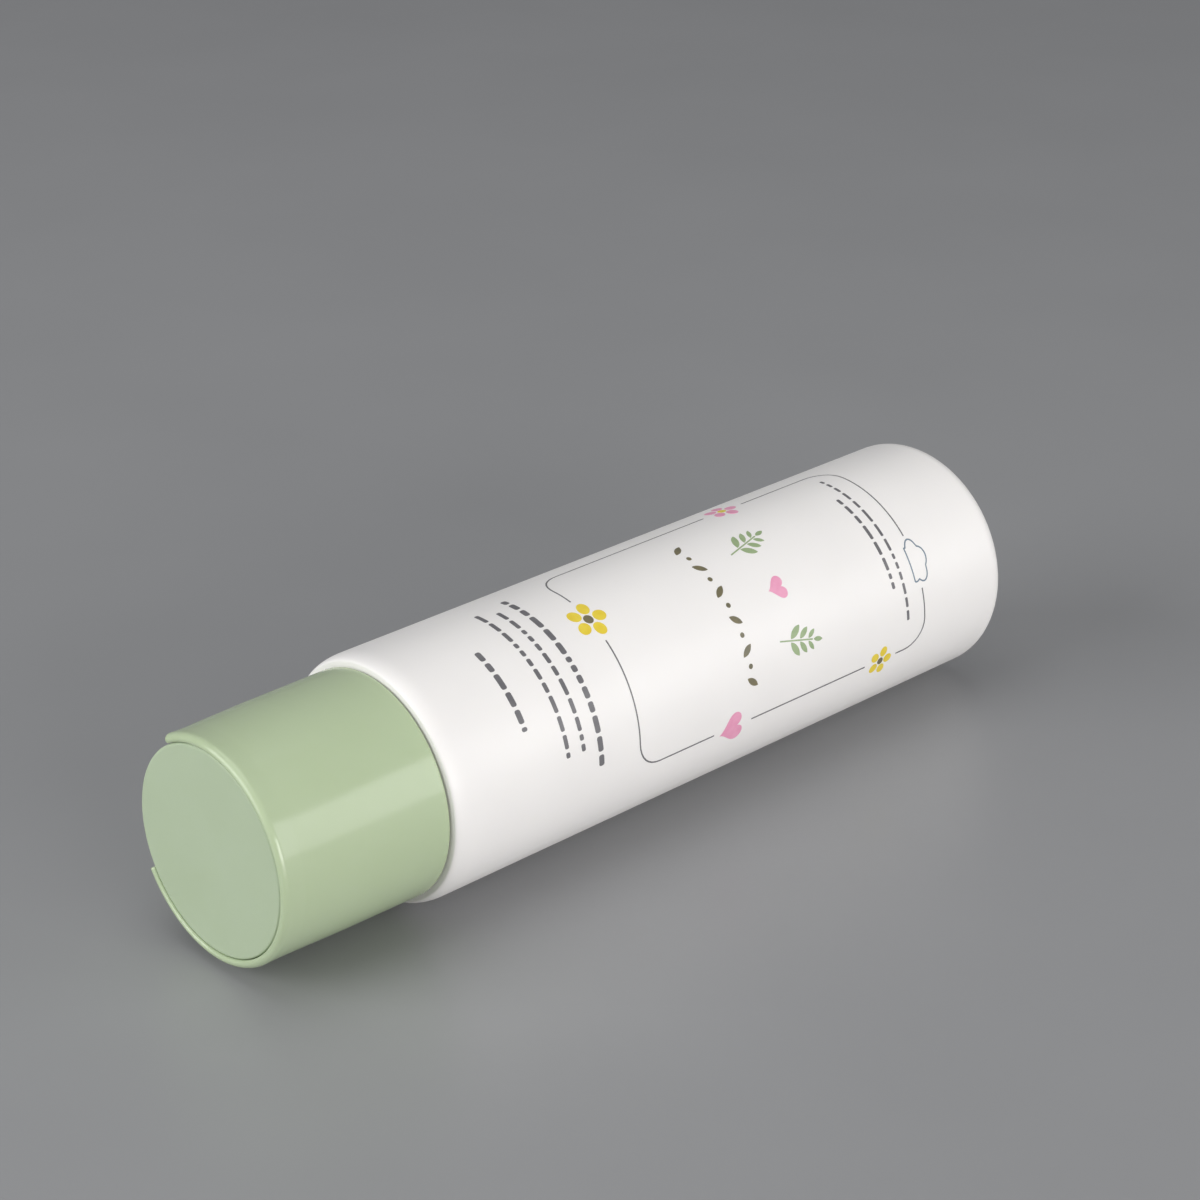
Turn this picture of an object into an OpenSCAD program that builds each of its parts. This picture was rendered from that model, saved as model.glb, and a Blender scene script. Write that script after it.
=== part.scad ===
// Round squeeze tube with a closed, rounded end and a screwed disc-top cap, lying on its side.
// Each piece is drawn upright, with the cap's face at z = 0 and the closed end at z = overall_l.
// laid() then turns the whole tube on to its side: z becomes +X, and the side at +x faces down.
// Inside the cap, +x is the side with the press notch, and the outlet is at -x.

/* [Tube] */
// Outside diameter of the body
tube_d = 38; // [36.8:0.1:44]
// Length over cap and body
overall_l = 146.7; // [110:0.1:180]
// Thickness of the soft side wall
wall = 0.9; // [0.6:0.05:1.4]
// Thickness of the shoulder and of the closed end
end_wall = 1.4; // [1:0.1:2]
// Diameter of the flat land on the shoulder, which the cap's edge faces
land_d = 36.3; // [35.8:0.1:37]
// Length along the body of the rounding beside that land
shoulder_l = 3; // [2:0.1:5]
// Radius of the rounding round the closed end
end_round = 3; // [2:0.1:5]
// Diameter of the shallow dish in the closed end
dish_d = 24; // [16:1:28]
// Depth of that dish
dish_depth = 0.8; // [0.4:0.1:1.2]
// Width of the flat that the soft wall takes where it lies
flat_w = 7; // [4:0.5:10]

/* [Neck] */
// Diameter of the neck between its threads
neck_d = 21.8; // [20.4:0.1:22.4]
// Bore of the neck
neck_bore_d = 17.8; // [14:0.1:18.4]
// Radius of the hollow between neck and shoulder
neck_fillet = 1.2; // [0.6:0.1:1.4]
// Distance from the neck's mouth to where its thread starts
lead_in = 1.4; // [1.2:0.1:2.5]

/* [Thread] */
// Advance in one turn
pitch = 3.2; // [3.2:0.05:3.8]
// Height of a thread above its wall
thread_h = 1.1; // [0.8:0.05:1.15]
// Width of a thread at its wall
thread_foot_w = 1.9; // [1.6:0.05:2]
// Width of a thread at its crest
thread_crest_w = 0.9; // [0.6:0.05:1]
// Turns of thread on the neck
neck_turns = 1.5; // [1:0.25:2]
// Turns of thread inside the cap
cap_turns = 1.25; // [1:0.25:1.5]
// Clearance between a crest and the wall that it faces
thread_play = 0.25; // [0.15:0.05:0.4]

/* [Cap] */
// Length of the cap
cap_l = 29; // [26:0.1:34]
// Diameter at the face
cap_face_d = 34.3; // [33.9:0.1:34.7]
// Diameter where the draft of the side changes
cap_mid_d = 34.9; // [34.7:0.1:35]
// Distance from the face to that change of draft
cap_mid_l = 14; // [11:0.5:18]
// Diameter at the open edge
cap_skirt_d = 35.1; // [35:0.1:35.4]
// Thickness of the side below the deck
cap_wall = 1.2; // [0.9:0.05:1.5]
// Thickness of the rim round the disc
rim_t = 1.2; // [1.05:0.05:1.3]
// Thickness of the deck under the disc
deck_t = 1.4; // [1:0.1:1.8]
// Thickness of the threaded inner skirt
inner_skirt_t = 1.25; // [1:0.05:1.5]
// Gap between the cap's edge and the shoulder
edge_gap = 0.25; // [0.15:0.05:0.6]
// Gap between the inner skirt and the shoulder
inner_skirt_gap = 2; // [1.6:0.1:4]
// Number of ribs between the inner skirt and the side
rib_count = 8; // [4:1:12]
// Thickness of a rib
rib_t = 0.9; // [0.6:0.1:1.2]
// Length of a rib below the deck
rib_l = 8; // [4:0.5:12]
// Rounding of the cap's open edge
edge_round = 0.3; // [0.1:0.05:0.5]

/* [Notch] */
// Angle that the notch spans in the rim
notch_span = 90; // [60:1:100]
// Depth of the notch
notch_depth = 2.8; // [1.8:0.1:3]
// Where the notch faces, counted from the side of the laid tube towards its top
notch_turn = 14; // [0:1:90]

/* [Disc] */
// Clearance between the disc's edge and the rim
disc_gap = 0.15; // [0.12:0.01:0.25]
// Thickness of the disc
disc_t = 1.4; // [1.1:0.1:1.6]
// Drop from the rim's crest to the disc's face
disc_drop = 0.25; // [0.1:0.05:0.5]
// Rounding of the disc's upper edge
disc_round = 0.3; // [0.1:0.05:0.5]
// Depth of the pivot under the rim's crest
pivot_depth = 2.3; // [2.2:0.05:2.5]
// Angle to which the disc tips
tip_angle = 22; // [16:1:24]
// Clearance between the tipped disc and the deck
floor_gap = 0.5; // [0.3:0.1:1]
// Depth of the apron along the disc's front edge
apron_depth = 3.9; // [3:0.1:4]
// Angle that the apron spans
apron_span = 120; // [80:5:130]
// Thickness of the apron
apron_t = 1; // [0.8:0.05:1.3]
// Clearance between the rim and the apron's lower edge as it swings past
apron_play = 0.07; // [0.05:0.01:0.15]

/* [Pivot] */
// Diameter of a pivot pin
pin_d = 2; // [1.6:0.1:2.2]
// Length of pin in the rim
pin_reach = 0.6; // [0.4:0.05:0.65]
// Diameter of the lug that carries a pin
lug_d = 3.2; // [2.8:0.1:3.4]
// Length of that lug
lug_l = 1.8; // [1.2:0.1:2.5]
// How far the lug stays inside the disc's edge
lug_inset = 1; // [0.8:0.1:1.5]
// Clearance round a pin and at its end
pin_play = 0.06; // [0.03:0.01:0.1]

/* [Valve] */
// Diameter of the ball under the disc
ball_d = 10; // [9.4:0.1:10.4]
// Bore up through the ball
ball_bore_d = 4.4; // [3.4:0.1:4.6]
// Bore of the outlet
outlet_d = 2.4; // [2:0.1:2.6]
// Thickness of the duct round the outlet
duct_t = 0.7; // [0.6:0.05:0.8]
// Thickness of the seat ring round the ball
seat_t = 0.9; // [0.7:0.05:1.4]
// Clearance between ball and seat
ball_play = 0.06; // [0.03:0.01:0.1]
// Clearance between the duct and the seat ring
duct_gap = 0.3; // [0.2:0.05:0.4]
// Angle that the seat still covers beyond the tipped bore
seat_cover = 2; // [1:0.5:4]

/* [Sealing ring] */
// Thickness of the foam sealing ring
ring_t = 1; // [0.8:0.1:1.5]
// Hole in the sealing ring
ring_hole_d = 9; // [8.2:0.1:12]
// Clearance round the sealing ring in the inner skirt
ring_play = 0.25; // [0.15:0.05:0.5]

/* [Hidden] */

$fn = 96;
fit_fn = 48;
thread_slices = 24;
arc_steps = 10;
bite = 0.3;
over = 1;

tube_r = tube_d / 2;
axis_height = sqrt(pow(tube_r, 2) - pow(flat_w / 2, 2));

face_r = cap_face_d / 2;
mid_r = cap_mid_d / 2;
skirt_r = cap_skirt_d / 2;
well_r = face_r - rim_t;
disc_r = well_r - disc_gap;
disc_under = disc_drop + disc_t;
apron_end = disc_under + apron_depth;
apron_r = sqrt(pow(well_r - apron_play, 2) - pow(apron_end - pivot_depth, 2));

deck_top = pivot_depth + disc_r * sin(tip_angle) - (pivot_depth - disc_under) * cos(tip_angle) + floor_gap;
deck_under = deck_top + deck_t;
mouth_z = deck_under + ring_t;
shoulder_z = cap_l + edge_gap;
inner_skirt_end = shoulder_z - inner_skirt_gap;

neck_r = neck_d / 2;
bore_r = neck_bore_d / 2;
crest_r = neck_r + thread_h;
inner_skirt_r = crest_r + thread_play;
cap_thread_h = inner_skirt_r - neck_r - thread_play;
thread_z = mouth_z + lead_in;

ball_r = ball_d / 2;
ball_bore_r = ball_bore_d / 2;
outlet_r = outlet_d / 2;
outlet_z = disc_under + outlet_r + (pivot_depth - disc_under) / 10;
duct_r = outlet_r + duct_t;
seat_top = outlet_z + duct_r + duct_gap;
seat_r = ball_r + ball_play;
seat_bore_r = seat_r * sin(asin(ball_bore_r / ball_r) + tip_angle + seat_cover);
seat_outer_r = seat_r + seat_t;

// Points along a quarter or other stretch of an ellipse in an [r, z] outline
function arc(centre, radii, from, to) =
    [for (i = [0 : arc_steps]) let (a = from + (to - from) * i / arc_steps)
        centre + [radii[0] * cos(a), radii[1] * sin(a)]];

// Radius of the cap's side at a depth below its face
function side_r(z) =
    z < cap_mid_l
        ? face_r + (mid_r - face_r) * z / cap_mid_l
        : mid_r + (skirt_r - mid_r) * (z - cap_mid_l) / (cap_l - cap_mid_l);

// Lays the upright tube on its flat, with its middle over the origin
module laid() {
    translate([-overall_l / 2, 0, axis_height]) rotate([0, 90, 0]) children();
}

// Turns the cap so that its +x side faces where the notch faces
module cap_turned() {
    rotate([0, 0, notch_turn + 90]) children();
}

module solid_of_revolution(outline) {
    rotate_extrude() polygon(outline);
}

// A cylinder along the disc's pivot line, from one distance to another
module across(d, from, to) {
    translate([0, from, pivot_depth]) rotate([-90, 0, 0]) cylinder(d = d, h = to - from, $fn = fit_fn);
}

// One thread, with a foot at foot_r and its crest on the side that side_sign names
module thread(foot_r, height, side_sign, turns) {
    slices = ceil(turns * thread_slices);
    section = [
        [foot_r - side_sign * bite, -thread_foot_w / 2],
        [foot_r + side_sign * height, -thread_crest_w / 2],
        [foot_r + side_sign * height, thread_crest_w / 2],
        [foot_r - side_sign * bite, thread_foot_w / 2],
    ];
    corners = len(section);
    points = [for (i = [0 : slices], q = section) let (a = 360 * i / thread_slices)
        [q[0] * cos(a), q[0] * sin(a), q[1] + pitch * i / thread_slices]];
    walls = [for (i = [0 : slices - 1], k = [0 : corners - 1])
        let (next = (k + 1) % corners, low = i * corners, high = low + corners)
        each [[low + k, high + next, high + k], [low + k, low + next, high + next]]];
    first_end = [for (k = [corners - 1 : -1 : 0]) k];
    last_end = [for (k = [0 : corners - 1]) slices * corners + k];
    faces = concat(walls, [first_end, last_end]);
    polyhedron(points, side_sign > 0 ? faces : [for (f = faces) [for (k = [len(f) - 1 : -1 : 0]) f[k]]]);
}

// The body's outside, neck and all, before the flat is cut
module tube_outside() {
    land_r = land_d / 2;
    dish_r = dish_d / 2;
    solid_of_revolution(concat(
        [[0, mouth_z], [neck_r - bite, mouth_z], [neck_r, mouth_z + bite]],
        arc([neck_r + neck_fillet, shoulder_z - neck_fillet], [neck_fillet, neck_fillet], 180, 90),
        arc([land_r, shoulder_z + shoulder_l], [tube_r - land_r, shoulder_l], -90, 0),
        arc([tube_r - end_round, overall_l - end_round], [end_round, end_round], 0, 90),
        [[dish_r, overall_l], [dish_r * 0.8, overall_l - dish_depth * 0.7], [0, overall_l - dish_depth]]
    ));
}

// The body's hollow, a wall's thickness inside its outside
module tube_inside() {
    in_r = tube_r - wall;
    in_round = end_round - wall;
    top = shoulder_z + end_wall;
    bottom = overall_l - dish_depth - end_wall;
    solid_of_revolution(concat(
        [[0, top], [bore_r, top]],
        arc([in_r - shoulder_l, top + shoulder_l], [shoulder_l, shoulder_l], -90, 0),
        arc([in_r - in_round, bottom - in_round], [in_round, in_round], 0, 90),
        [[0, bottom]]
    ));
}

// What lies past a plane on the body's lower side
module below(plane_x) {
    translate([plane_x, -tube_d, -over]) cube([tube_d, 2 * tube_d, overall_l + 2 * over]);
}

module tube_body() {
    color("#f3f1ef") laid() difference() {
        union() {
            difference() {
                tube_outside();
                below(axis_height);
            }
            translate([0, 0, thread_z]) thread(neck_r, thread_h, 1, neck_turns);
        }
        difference() {
            tube_inside();
            below(axis_height - wall);
        }
        translate([0, 0, mouth_z - over])
            cylinder(r = bore_r, h = shoulder_z + end_wall - mouth_z + 2 * over);
    }
}

module sealing_ring() {
    color("#e9e9e6") laid() translate([0, 0, deck_under]) difference() {
        cylinder(r = inner_skirt_r - ring_play, h = ring_t);
        translate([0, 0, -over]) cylinder(d = ring_hole_d, h = ring_t + 2 * over);
    }
}

// Side, rim, deck, inner skirt and seat ring in one turned outline
module cap_walls() {
    rim_r = rim_t / 2;
    inner_out_r = inner_skirt_r + inner_skirt_t;
    solid_of_revolution(concat(
        arc([well_r + rim_r, rim_r], [rim_r, rim_r], 180, 360),
        [[mid_r, cap_mid_l]],
        arc([skirt_r - edge_round, cap_l - edge_round], [edge_round, edge_round], 0, 90),
        [
            [skirt_r - cap_wall, cap_l],
            [mid_r - cap_wall, cap_mid_l],
            [side_r(deck_under) - cap_wall, deck_under],
            [inner_out_r, deck_under],
            [inner_out_r, inner_skirt_end],
            [inner_skirt_r, inner_skirt_end],
            [inner_skirt_r, deck_under],
            [seat_bore_r, deck_under],
            [seat_bore_r, seat_top],
            [seat_outer_r, seat_top],
            [seat_outer_r, deck_top],
            [well_r, deck_top],
        ]
    ));
}

module cap_ribs() {
    from = inner_skirt_r + inner_skirt_t - bite;
    to = side_r(deck_under) - cap_wall + bite;
    for (i = [0 : rib_count - 1])
        rotate([0, 0, 360 * i / rib_count])
            translate([from, -rib_t / 2, deck_under - bite]) cube([to - from, rib_t, rib_l + bite]);
}

module press_notch() {
    rotate([0, 0, -notch_span / 2]) translate([0, 0, -over])
        rotate_extrude(angle = notch_span)
            translate([well_r - over, 0]) square([rim_t + 3 * over, notch_depth + over]);
}

module cap_shell() {
    socket_end = well_r + pin_reach + pin_play;
    color("#b4c4a2") laid() {
        cap_turned() difference() {
            union() {
                cap_walls();
                cap_ribs();
            }
            translate([0, 0, pivot_depth]) sphere(r = seat_r);
            across(pin_d + 2 * pin_play, -socket_end, socket_end);
            press_notch();
        }
        translate([0, 0, thread_z + pitch / 2])
            thread(inner_skirt_r, cap_thread_h, -1, cap_turns);
    }
}

// The round plate with its front apron, turned as a whole ring and cut away behind
module disc_plate() {
    cut_span = 360 - apron_span;
    difference() {
        solid_of_revolution(concat(
            [[0, disc_under], [0, disc_drop]],
            arc([disc_r - disc_round, disc_drop + disc_round], [disc_round, disc_round], -90, 0),
            [
                [disc_r, disc_under],
                [apron_r, disc_under],
                [apron_r, apron_end],
                [apron_r - apron_t, apron_end],
                [apron_r - apron_t, disc_under],
            ]
        ));
        rotate([0, 0, -cut_span / 2]) rotate_extrude(angle = cut_span)
            translate([apron_r - apron_t - over, disc_under]) square([apron_t + 2 * over, apron_depth + over]);
    }
}

// A bar along the outlet, from the disc's middle to its front edge
module along_outlet(r, to) {
    translate([0, 0, outlet_z]) rotate([0, -90, 0]) cylinder(r = r, h = to, $fn = fit_fn);
}

module disc_lugs() {
    lug_end = disc_r - lug_inset;
    for (side = [0, 1])
        mirror([0, side, 0]) {
            across(lug_d, lug_end - lug_l, lug_end);
            across(pin_d, lug_end - over, well_r + pin_reach);
        }
}

module press_disc() {
    color("#acbc9f") laid() cap_turned() difference() {
        union() {
            disc_plate();
            disc_lugs();
            along_outlet(duct_r, apron_r - apron_t / 2);
            intersection() {
                translate([0, 0, pivot_depth]) sphere(r = ball_r);
                translate([0, 0, disc_under - bite]) cylinder(r = ball_d, h = ball_d);
            }
        }
        along_outlet(outlet_r, disc_r + over);
        translate([0, 0, outlet_z]) cylinder(r = ball_bore_r, h = ball_d);
    }
}

tube_body();
sealing_ring();
cap_shell();
press_disc();
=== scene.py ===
"""Looks for a round squeeze tube with a screwed disc-top cap, lying on a grey studio floor.

Every piece is drawn upright in millimetres, with the cap's face at z = 0 and the closed end up,
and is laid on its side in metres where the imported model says. In the drawing the press notch
lies at 104 degrees, and the outlet faces the other way.
"""

import logging
import math
from dataclasses import dataclass, field
from enum import Enum
from itertools import pairwise
from typing import ClassVar

import bmesh
import bpy
from mathutils import Matrix, Vector


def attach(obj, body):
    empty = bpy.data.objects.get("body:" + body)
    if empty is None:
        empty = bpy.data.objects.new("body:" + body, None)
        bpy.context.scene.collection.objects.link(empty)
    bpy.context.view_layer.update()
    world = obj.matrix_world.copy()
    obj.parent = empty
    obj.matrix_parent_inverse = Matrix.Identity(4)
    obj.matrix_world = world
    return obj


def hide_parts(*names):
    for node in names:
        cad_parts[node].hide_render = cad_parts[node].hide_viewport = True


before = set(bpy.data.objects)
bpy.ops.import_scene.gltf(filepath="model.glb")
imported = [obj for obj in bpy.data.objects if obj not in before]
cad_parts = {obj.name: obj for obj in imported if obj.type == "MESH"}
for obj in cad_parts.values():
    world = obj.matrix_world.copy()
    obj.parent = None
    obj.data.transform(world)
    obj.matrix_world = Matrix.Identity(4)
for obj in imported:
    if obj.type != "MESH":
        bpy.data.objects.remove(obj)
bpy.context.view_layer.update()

LOG = logging.getLogger("squeeze_tube")
METRES_PER_MM = 0.001
# Corners this near each other are one, in millimetres
MERGE_MM = 0.002
# An edge shorter than this is left over from a cut and is dropped
SPECK_MM = 0.0005
FULL_TURN = 360.0
# Direction of the press notch in the drawing, in degrees
NOTCH_TURN = 104.0
AXIS = (0.0, 0.0, 1.0)
ORIGIN = (0.0, 0.0, 0.0)
# The part of its range in which a noise texture mostly stays
NOISE_RANGE = (0.25, 0.75)
# The part of it over which one tone gives way to the other
CLOUD_RANGE = (0.35, 0.65)
# How far red, green and blue light go in the plastics, as shares of the longest way
SCATTER = (1.0, 1.0, 0.8)

Point = tuple[float, float]
Place = tuple[float, float, float]


# Colours and nodes


def linear(hex_colour: str) -> tuple[float, float, float, float]:
    """Turns an sRGB hex colour into the linear colour that a shader takes.

    Args:
        hex_colour: The colour, such as "#f3f1ef".

    Returns:
        Red, green, blue and an alpha of one.
    """
    parts = [int(hex_colour[i : i + 2], 16) / 255 for i in (1, 3, 5)]
    red, green, blue = (c / 12.92 if c <= 0.04045 else ((c + 0.055) / 1.055) ** 2.4 for c in parts)
    return red, green, blue, 1.0


def per_metre(size_mm: float) -> float:
    """Gives the texture scale at which one cell of a pattern measures size_mm."""
    return 1.0 / (size_mm * METRES_PER_MM)


def add_node(
    tree: bpy.types.NodeTree, kind: str, inputs: dict[str | int, object], **settings: object
) -> bpy.types.Node:
    """Adds one node with its settings, its values and the links into it.

    Args:
        tree: The node tree.
        kind: The node's type in Blender.
        inputs: For an input's name or number, a value or the output socket that feeds it.
        **settings: The node's own options.

    Returns:
        The node.
    """
    made = tree.nodes.new(kind)
    for name, value in settings.items():
        setattr(made, name, value)
    for name, value in inputs.items():
        if isinstance(value, bpy.types.NodeSocket):
            tree.links.new(value, made.inputs[name])
        else:
            made.inputs[name].default_value = value
    return made


@dataclass(frozen=True)
class Finish:
    """A surface of plastic, foam, ink or paint: two near tones, a varying gloss and a relief.

    Attributes:
        name: Name of the material.
        colour: Main sRGB colour.
        cloud_colour: Near tone that the main one drifts to.
        cloud_mm: Size of the patches of that drift.
        roughness: Middle roughness.
        roughness_swing: How far the roughness goes to either side.
        smear_mm: Size of the patches of roughness.
        grain_mm: Size of the finest relief that shows.
        grain_height_mm: Height of that relief.
        wave_mm: Size of the broad waves of the surface.
        wave_height_mm: Height of those waves.
        ior: Index of refraction.
        subsurface: Share of the light that goes into the material and comes out beside.
        subsurface_mm: How far that light goes.
    """

    name: str
    colour: str
    cloud_colour: str
    cloud_mm: float
    roughness: float
    roughness_swing: float
    smear_mm: float
    grain_mm: float
    grain_height_mm: float
    wave_mm: float
    wave_height_mm: float
    ior: float
    subsurface: float = 0.0
    subsurface_mm: float = 0.6

    def material(self) -> bpy.types.Material:
        """Builds the material.

        Returns:
            The material, ready to be worn.
        """
        made = bpy.data.materials.new(self.name)
        made.use_nodes = True
        tree = made.node_tree
        tree.nodes.clear()
        place = add_node(tree, "ShaderNodeTexCoord", {}).outputs["Object"]
        # Each noise has its size and its detail, which is how often finer noise is laid over it
        cloud, smear, wave, grain = (
            add_node(
                tree,
                "ShaderNodeTexNoise",
                {"Vector": place, "Scale": per_metre(size_mm), "Detail": detail},
            ).outputs["Fac"]
            for size_mm, detail in (
                (self.cloud_mm, 3.0),
                (self.smear_mm, 4.0),
                (self.wave_mm, 1.0),
                (self.grain_mm, 2.0),
            )
        )
        gloss = add_node(
            tree,
            "ShaderNodeMapRange",
            {
                "Value": smear,
                "From Min": NOISE_RANGE[0],
                "From Max": NOISE_RANGE[1],
                "To Min": self.roughness - self.roughness_swing,
                "To Max": self.roughness + self.roughness_swing,
            },
        )
        relief: dict[str, bpy.types.NodeSocket] = {}
        for height, height_mm in ((wave, self.wave_height_mm), (grain, self.grain_height_mm)):
            bump = {"Height": height, "Distance": height_mm * METRES_PER_MM, "Strength": 1.0}
            bumped = add_node(tree, "ShaderNodeBump", bump | relief)
            relief = {"Normal": bumped.outputs["Normal"]}
        shader = add_node(
            tree,
            "ShaderNodeBsdfPrincipled",
            {
                "Base Color": self.tone(tree, cloud),
                "Roughness": gloss.outputs["Result"],
                "IOR": self.ior,
                "Subsurface Weight": self.subsurface,
                "Subsurface Radius": SCATTER,
                "Subsurface Scale": self.subsurface_mm * METRES_PER_MM,
                **relief,
            },
        )
        add_node(tree, "ShaderNodeOutputMaterial", {"Surface": shader.outputs["BSDF"]})
        return made

    def tone(self, tree: bpy.types.NodeTree, share: bpy.types.NodeSocket) -> bpy.types.NodeSocket:
        """Builds the drift between the two tones.

        Args:
            tree: The material's node tree.
            share: How much of the second tone shows.

        Returns:
            The colour that the shader takes.
        """
        ramp = add_node(tree, "ShaderNodeValToRGB", {"Fac": share})
        tones = (self.colour, self.cloud_colour)
        for stop, at, tone in zip(ramp.color_ramp.elements, CLOUD_RANGE, tones):
            stop.position = at
            stop.color = linear(tone)
        return ramp.outputs["Color"]


# Low-density polyethylene, blown: a soft white wall with a satin skin, very slightly wavy.
BLOWN_POLYETHYLENE = Finish(
    name="blown_white_polyethylene",
    colour="#f4f2f0",
    cloud_colour="#f1efed",
    cloud_mm=22.0,
    roughness=0.42,
    roughness_swing=0.03,
    smear_mm=9.0,
    grain_mm=0.5,
    grain_height_mm=0.0012,
    wave_mm=14.0,
    wave_height_mm=0.02,
    ior=1.51,
    subsurface=0.06,
    subsurface_mm=0.8,
)

# Polypropylene, moulded against polished steel: a clear but soft-edged highlight.
MOULDED_POLYPROPYLENE = Finish(
    name="moulded_green_polypropylene",
    colour="#b5c5a2",
    cloud_colour="#b7c7a5",
    cloud_mm=16.0,
    roughness=0.17,
    roughness_swing=0.025,
    smear_mm=5.0,
    grain_mm=0.6,
    grain_height_mm=0.0006,
    wave_mm=11.0,
    wave_height_mm=0.006,
    ior=1.49,
    subsurface=0.35,
    subsurface_mm=0.7,
)

# The same polypropylene against spark-eroded steel: matte, with a fine even grain. The real grain
# is about 0.05 mm, and it is drawn at 0.3 mm because that is the finest that shows.
SPARKED_POLYPROPYLENE = Finish(
    name="sparked_green_polypropylene",
    colour="#b2c2a4",
    cloud_colour="#b4c4a7",
    cloud_mm=12.0,
    roughness=0.55,
    roughness_swing=0.03,
    smear_mm=4.0,
    grain_mm=0.3,
    grain_height_mm=0.006,
    wave_mm=12.0,
    wave_height_mm=0.004,
    ior=1.49,
    subsurface=0.35,
    subsurface_mm=0.7,
)

# Expanded polyethylene, skived from foam: off-white and dull, with open cells of a third of a
# millimetre.
SKIVED_FOAM = Finish(
    name="skived_white_foam",
    colour="#ebebe8",
    cloud_colour="#dfdfda",
    cloud_mm=0.9,
    roughness=0.85,
    roughness_swing=0.08,
    smear_mm=1.0,
    grain_mm=0.35,
    grain_height_mm=0.08,
    wave_mm=3.0,
    wave_height_mm=0.05,
    ior=1.4,
)

# Fibreboard, painted matt grey: plain, with a faint sheen at a low angle.
PAINTED_BOARD = Finish(
    name="matt_grey_studio_board",
    colour="#969799",
    cloud_colour="#98999b",
    cloud_mm=60.0,
    roughness=0.35,
    roughness_swing=0.03,
    smear_mm=40.0,
    grain_mm=0.8,
    grain_height_mm=0.01,
    wave_mm=60.0,
    wave_height_mm=0.02,
    ior=1.45,
)


class Ink(Enum):
    """The inks of the print, each with its colour and the near tone that it drifts to."""

    GREY = ("#717073", "#68676b")
    OLIVE = ("#6c6852", "#7b7355")
    YELLOW = ("#ecd64c", "#e6cb3c")
    PINK = ("#efa9c6", "#ea9dbd")
    SLATE = ("#6f8190", "#64788a")
    LEAF = ("#9fb389", "#93a97d")

    @property
    def finish(self) -> Finish:
        """The screened ink: a thin film, smoother than the wall, that thins out in places."""
        colour, cloud_colour = self.value
        return Finish(
            name=f"screened_{self.name.lower()}_ink",
            colour=colour,
            cloud_colour=cloud_colour,
            cloud_mm=1.6,
            roughness=0.36,
            roughness_swing=0.05,
            smear_mm=2.0,
            grain_mm=0.3,
            grain_height_mm=0.0015,
            wave_mm=14.0,
            wave_height_mm=0.02,
            ior=1.5,
        )


# Outlines and turned shapes


def arc(centre: Point, radii: Point, start: float, end: float, steps: int = 10) -> list[Point]:
    """Gives points along a stretch of an ellipse in a turned outline.

    Args:
        centre: Its centre, as distance from the axis and height.
        radii: Its half-widths away from the axis and along it.
        start: Angle of the first point, in degrees.
        end: Angle of the last point.
        steps: Number of steps between them.

    Returns:
        The points, ends included.
    """
    turns = [math.radians(start + (end - start) * i / steps) for i in range(steps + 1)]
    (r, z), (half_r, half_z) = centre, radii
    return [(r + half_r * math.cos(a), z + half_z * math.sin(a)) for a in turns]


def between(start: Point, end: Point, shares: tuple[float, ...]) -> list[Point]:
    """Gives points on a straight stretch, so that smooth shading stays true beside a rounding.

    Args:
        start: One end of the stretch.
        end: The other end.
        shares: Where the points are, as shares of its length.

    Returns:
        The points.
    """
    return [
        (start[0] + (end[0] - start[0]) * t, start[1] + (end[1] - start[1]) * t) for t in shares
    ]


def turn(
    bm: bmesh.types.BMesh,
    outline: list[Point],
    closed: bool,
    start: float = 0.0,
    span: float = FULL_TURN,
    step: float = 2.0,
) -> None:
    """Turns an outline round the axis.

    Args:
        bm: The mesh that takes the surface.
        outline: The outline, as distances from the axis and heights.
        closed: Whether its last point joins its first.
        start: Angle where the surface begins, in degrees.
        span: Angle that it covers.
        step: Angle of one face.
    """
    corners = [bm.verts.new((r, 0.0, z)) for r, z in outline]
    joined = corners + corners[:1] if closed else corners
    sides = [bm.edges.new(pair) for pair in pairwise(joined)]
    spin(bm, corners, sides, start, span, round(span / step), 0.0)


def spin(
    bm: bmesh.types.BMesh,
    corners: list[bmesh.types.BMVert],
    sides: list[bmesh.types.BMEdge],
    start: float,
    span: float,
    steps: int,
    rise: float,
) -> None:
    """Spins an outline that is in the mesh, with a rise along the axis for a thread.

    Args:
        bm: The mesh.
        corners: The outline's corners.
        sides: The outline's edges.
        start: Angle where the surface begins, in degrees.
        span: Angle that it covers.
        steps: Number of faces round it.
        rise: Whole rise along the axis.
    """
    bmesh.ops.rotate(
        bm, verts=corners, cent=ORIGIN, matrix=Matrix.Rotation(math.radians(start), 3, "Z")
    )
    bmesh.ops.spin(
        bm,
        geom=corners + sides,
        cent=ORIGIN,
        axis=AXIS,
        dvec=(0.0, 0.0, rise / steps),
        angle=math.radians(span),
        steps=steps,
        use_merge=rise == 0.0 and span >= FULL_TURN,
    )


def weld(bm: bmesh.types.BMesh) -> None:
    """Merges doubles, closes what is open and turns the faces outwards.

    Args:
        bm: The mesh.
    """
    bmesh.ops.remove_doubles(bm, verts=bm.verts, dist=MERGE_MM)
    rims = [e for e in bm.edges if e.is_boundary]
    if rims:
        bmesh.ops.holes_fill(bm, edges=rims, sides=0)
    bmesh.ops.recalc_face_normals(bm, faces=bm.faces)


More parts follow.
